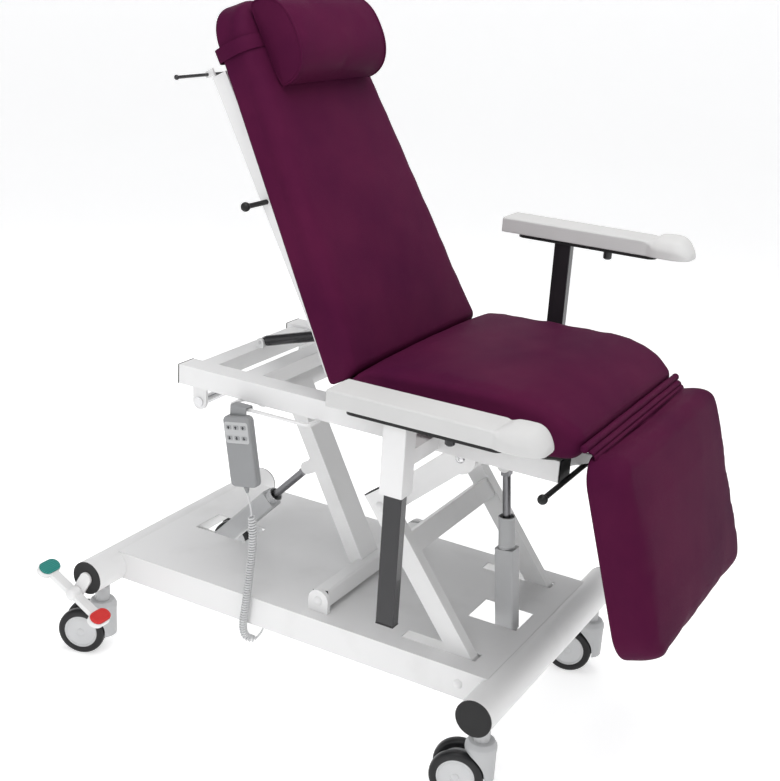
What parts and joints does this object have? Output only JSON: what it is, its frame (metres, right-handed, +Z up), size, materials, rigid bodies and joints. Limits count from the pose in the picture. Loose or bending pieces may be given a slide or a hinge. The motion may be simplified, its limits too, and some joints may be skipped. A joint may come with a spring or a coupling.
{
  "type": "phlebotomy chair",
  "caption": "Height-adjustable treatment chair: reclining back with head pillow, raising legrest, sliding armrests, lift linkage on a wheeled base with brake pedal and corded handset.",
  "frame": {"origin": "floor level, under the middle of the chair's overall box", "axes": "+Z up, the sitter faces -Y, +X is the sitter's left"},
  "size_m": [0.9386, 1.6165, 1.6879],
  "materials": {
    "frame_white": "semi-gloss powder coat",
    "plug_black": "satin black",
    "cord_grey": "satin",
    "pad_red": "satin",
    "pad_green": "satin",
    "steel_bright": "polished",
    "steel_dark": "dark gloss",
    "board_black": "black stained plywood",
    "vinyl_plum": "soft grained vinyl",
    "vinyl_white": "smooth integral foam skin",
    "handset_grey": "satin",
    "key_dark": "matt",
    "actuator_grey": "satin",
    "caster_grey": "satin",
    "wheel_tyre": "black tread on a pale disc"
  },
  "bodies": {
    "base": {"base_cross_tubes": "frame_white", "base_tube_plugs": "plug_black", "base_tray": "frame_white", "base_beams": "frame_white", "base_brackets": "frame_white", "base_pivot_pins": "frame_white", "cord_gland": "plug_black", "handset_cord": "cord_grey"},
    "brake_pedal": {"pedal_lever": "frame_white", "pedal_pad_lock": "pad_red", "pedal_pad_release": "pad_green"},
    "lift_arm_assembly": {"lift_arm": "frame_white", "pivot_tube_plugs": "plug_black"},
    "lower_arm_pair": {"lower_arms": "frame_white", "arm_end_plugs": "plug_black"},
    "upper_link_pair": {"upper_links": "frame_white"},
    "seat_frame": {"side_rails": "frame_white", "rail_plugs": "plug_black", "cross_members": "frame_white", "frame_lugs": "frame_white", "frame_pins": "steel_bright", "post_sleeves": "frame_white", "handset_loop": "frame_white", "seat_board": "board_black", "seat_cushion": "vinyl_plum", "handset_shell": "handset_grey"},
    "rear_actuator_housing": {"rear_actuator_body": "actuator_grey"},
    "rear_actuator_shaft": {"rear_actuator_rod": "steel_bright"},
    "front_actuator_housing": {"front_actuator_body": "actuator_grey"},
    "front_actuator_shaft": {"front_actuator_rod": "steel_bright"},
    "backrest": {"backrest_frame": "frame_white", "backrest_cushion": "vinyl_plum", "paper_roll_rod": "steel_dark"},
    "pillow": {"head_pillow": "vinyl_plum"},
    "back_release": {"back_release_bar": "plug_black"},
    "spring_barrel": {"back_spring_barrel": "steel_dark"},
    "spring_rod": {"back_spring_rod": "steel_bright"},
    "legrest": {"legrest_frame": "board_black", "legrest_cushion": "vinyl_plum"},
    "leg_release": {"leg_release_bar": "plug_black"},
    "armrest_right": {"armrest_post_right": "steel_dark", "armrest_plate_right": "plug_black", "armrest_pad_right": "vinyl_white"},
    "armrest_left": {"armrest_post_left": "steel_dark", "armrest_plate_left": "plug_black", "armrest_pad_left": "vinyl_white"},
    "caster_front_right": {"caster_housing_front_right": "caster_grey"},
    "wheel_front_right": {"caster_wheels_front_right": "wheel_tyre"},
    "caster_front_left": {"caster_housing_front_left": "caster_grey"},
    "wheel_front_left": {"caster_wheels_front_left": "wheel_tyre"},
    "caster_rear_right": {"caster_housing_rear_right": "caster_grey"},
    "wheel_rear_right": {"caster_wheels_rear_right": "wheel_tyre"},
    "caster_rear_left": {"caster_housing_rear_left": "caster_grey"},
    "wheel_rear_left": {"caster_wheels_rear_left": "wheel_tyre"},
    "key_1": {"handset_key_1": "key_dark"},
    "key_2": {"handset_key_2": "key_dark"},
    "key_3": {"handset_key_3": "key_dark"},
    "key_4": {"handset_key_4": "key_dark"},
    "key_5": {"handset_key_5": "key_dark"},
    "key_6": {"handset_key_6": "key_dark"}
  },
  "joints": [
    {"name": "seat_lift", "type": "hinge", "parent": "base", "child": "lift_arm_assembly", "pos_m": [0, 0.0611, 0.306], "axis": [-1, 0, 0], "range_deg": [0, 24], "deforming": ["handset_cord"]},
    {"name": "seat_level", "type": "hinge", "parent": "lift_arm_assembly", "child": "seat_frame", "pos_m": [0, 0.3111, 0.742], "axis": [-1, 0, 0], "range_deg": [-24.01, 0.01]},
    {"name": "lower_arm_swing", "type": "hinge", "parent": "base", "child": "lower_arm_pair", "pos_m": [0, -0.3439, 0.238], "axis": [-1, 0, 0], "range_deg": [-0.01, 27.7]},
    {"name": "upper_link_swing", "type": "hinge", "parent": "seat_frame", "child": "upper_link_pair", "pos_m": [0, -0.2609, 0.744], "axis": [-1, 0, 0], "range_deg": [-0.01, 7.6]},
    {"name": "rear_actuator_swing", "type": "hinge", "parent": "base", "child": "rear_actuator_housing", "pos_m": [0, 0.5511, 0.221], "axis": [-1, 0, 0], "range_deg": [-2.8, 0.01]},
    {"name": "rear_rod_swing", "type": "hinge", "parent": "lift_arm_assembly", "child": "rear_actuator_shaft", "pos_m": [0, 0.2611, 0.524], "axis": [-1, 0, 0], "range_deg": [-26.8, 0.01]},
    {"name": "front_actuator_swing", "type": "hinge", "parent": "base", "child": "front_actuator_housing", "pos_m": [0, -0.3339, 0.223], "axis": [-1, 0, 0], "range_deg": [-0.01, 26.8]},
    {"name": "front_rod_swing", "type": "hinge", "parent": "seat_frame", "child": "front_actuator_shaft", "pos_m": [0, -0.2889, 0.672], "axis": [-1, 0, 0], "range_deg": [-0.01, 26.8]},
    {"name": "back_recline", "type": "hinge", "parent": "seat_frame", "child": "backrest", "pos_m": [0, 0.0231, 0.85], "axis": [-1, 0, 0], "range_deg": [0, 40]},
    {"name": "spring_barrel_swing", "type": "hinge", "parent": "seat_frame", "child": "spring_barrel", "pos_m": [0, 0.4211, 0.832], "axis": [1, 0, 0], "range_deg": [-0.01, 8.7]},
    {"name": "spring_rod_swing", "type": "hinge", "parent": "backrest", "child": "spring_rod", "pos_m": [0, 0.08627, 0.92869], "axis": [1, 0, 0], "range_deg": [-0.01, 48.7]},
    {"name": "pillow_slide", "type": "slide", "parent": "backrest", "child": "pillow", "axis": [0, 0.4772, 0.8788], "range_m": [0, 0.05]},
    {"name": "back_release_turn", "type": "hinge", "parent": "backrest", "child": "back_release", "pos_m": [0, 0.2689, 1.24827], "axis": [1, 0, 0], "range_deg": [0, 20], "stiffness_Nm_per_rad": 4},
    {"name": "leg_raise", "type": "hinge", "parent": "seat_frame", "child": "legrest", "pos_m": [0, -0.5849, 0.85], "axis": [-1, 0, 0], "range_deg": [0, 50]},
    {"name": "leg_release_turn", "type": "hinge", "parent": "seat_frame", "child": "leg_release", "pos_m": [0, -0.5329, 0.78], "axis": [1, 0, 0], "range_deg": [0, 20], "stiffness_Nm_per_rad": 4},
    {"name": "armrest_right_slide", "type": "slide", "parent": "seat_frame", "child": "armrest_right", "axis": [0, 0, 1], "range_m": [0, 0.245]},
    {"name": "armrest_left_slide", "type": "slide", "parent": "seat_frame", "child": "armrest_left", "axis": [0, 0, 1], "range_m": [-0.245, 0]},
    {"name": "brake_pedal_rock", "type": "hinge", "parent": "base", "child": "brake_pedal", "pos_m": [-0.411, 0.7011, 0.192], "axis": [-1, 0, 0], "range_deg": [0, 50]},
    {"name": "caster_swivel_front_right", "type": "hinge", "parent": "base", "child": "caster_front_right", "pos_m": [-0.335, -0.4339, 0.15], "axis": [0, 0, 1], "continuous": true},
    {"name": "wheel_roll_front_right", "type": "hinge", "parent": "caster_front_right", "child": "wheel_front_right", "pos_m": [-0.34903, -0.388, 0.0625], "axis": [0.9563, 0.2924, 0], "continuous": true},
    {"name": "caster_swivel_front_left", "type": "hinge", "parent": "base", "child": "caster_front_left", "pos_m": [0.335, -0.4339, 0.15], "axis": [0, 0, 1], "continuous": true},
    {"name": "wheel_roll_front_left", "type": "hinge", "parent": "caster_front_left", "child": "wheel_front_left", "pos_m": [0.32666, -0.38663, 0.0625], "axis": [0.9848, 0.1736, 0], "continuous": true},
    {"name": "caster_swivel_rear_right", "type": "hinge", "parent": "base", "child": "caster_rear_right", "pos_m": [-0.335, 0.6761, 0.15], "axis": [0, 0, 1], "continuous": true},
    {"name": "wheel_roll_rear_right", "type": "hinge", "parent": "caster_rear_right", "child": "wheel_rear_right", "pos_m": [-0.35142, 0.7212, 0.0625], "axis": [0.9397, 0.342, 0], "continuous": true},
    {"name": "caster_swivel_rear_left", "type": "hinge", "parent": "base", "child": "caster_rear_left", "pos_m": [0.335, 0.6761, 0.15], "axis": [0, 0, 1], "continuous": true},
    {"name": "wheel_roll_rear_left", "type": "hinge", "parent": "caster_rear_left", "child": "wheel_rear_left", "pos_m": [0.32339, 0.72267, 0.0625], "axis": [0.9703, 0.2419, 0], "continuous": true},
    {"name": "key_1_press", "type": "slide", "parent": "seat_frame", "child": "key_1", "axis": [1, 0, 0], "range_m": [0, 0.001], "stiffness_N_per_m": 600},
    {"name": "key_2_press", "type": "slide", "parent": "seat_frame", "child": "key_2", "axis": [1, 0, 0], "range_m": [0, 0.001], "stiffness_N_per_m": 600},
    {"name": "key_3_press", "type": "slide", "parent": "seat_frame", "child": "key_3", "axis": [1, 0, 0], "range_m": [0, 0.001], "stiffness_N_per_m": 600},
    {"name": "key_4_press", "type": "slide", "parent": "seat_frame", "child": "key_4", "axis": [1, 0, 0], "range_m": [0, 0.001], "stiffness_N_per_m": 600},
    {"name": "key_5_press", "type": "slide", "parent": "seat_frame", "child": "key_5", "axis": [1, 0, 0], "range_m": [0, 0.001], "stiffness_N_per_m": 600},
    {"name": "key_6_press", "type": "slide", "parent": "seat_frame", "child": "key_6", "axis": [1, 0, 0], "range_m": [0, 0.001], "stiffness_N_per_m": 600}
  ],
  "couplings": [
    {"joint": "seat_level", "follows": "seat_lift", "ratio": -1},
    {"joint": "lower_arm_swing", "follows": "seat_lift", "ratio": 1.152},
    {"joint": "upper_link_swing", "follows": "seat_lift", "ratio": 0.313},
    {"joint": "rear_actuator_swing", "follows": "seat_lift", "ratio": -0.114},
    {"joint": "rear_rod_swing", "follows": "seat_lift", "ratio": -1.114},
    {"joint": "front_actuator_swing", "follows": "seat_lift", "ratio": 1.113},
    {"joint": "front_rod_swing", "follows": "seat_lift", "ratio": 1.113},
    {"joint": "spring_barrel_swing", "follows": "back_recline", "ratio": 0.2156},
    {"joint": "spring_rod_swing", "follows": "back_recline", "ratio": 1.2156}
  ]
}
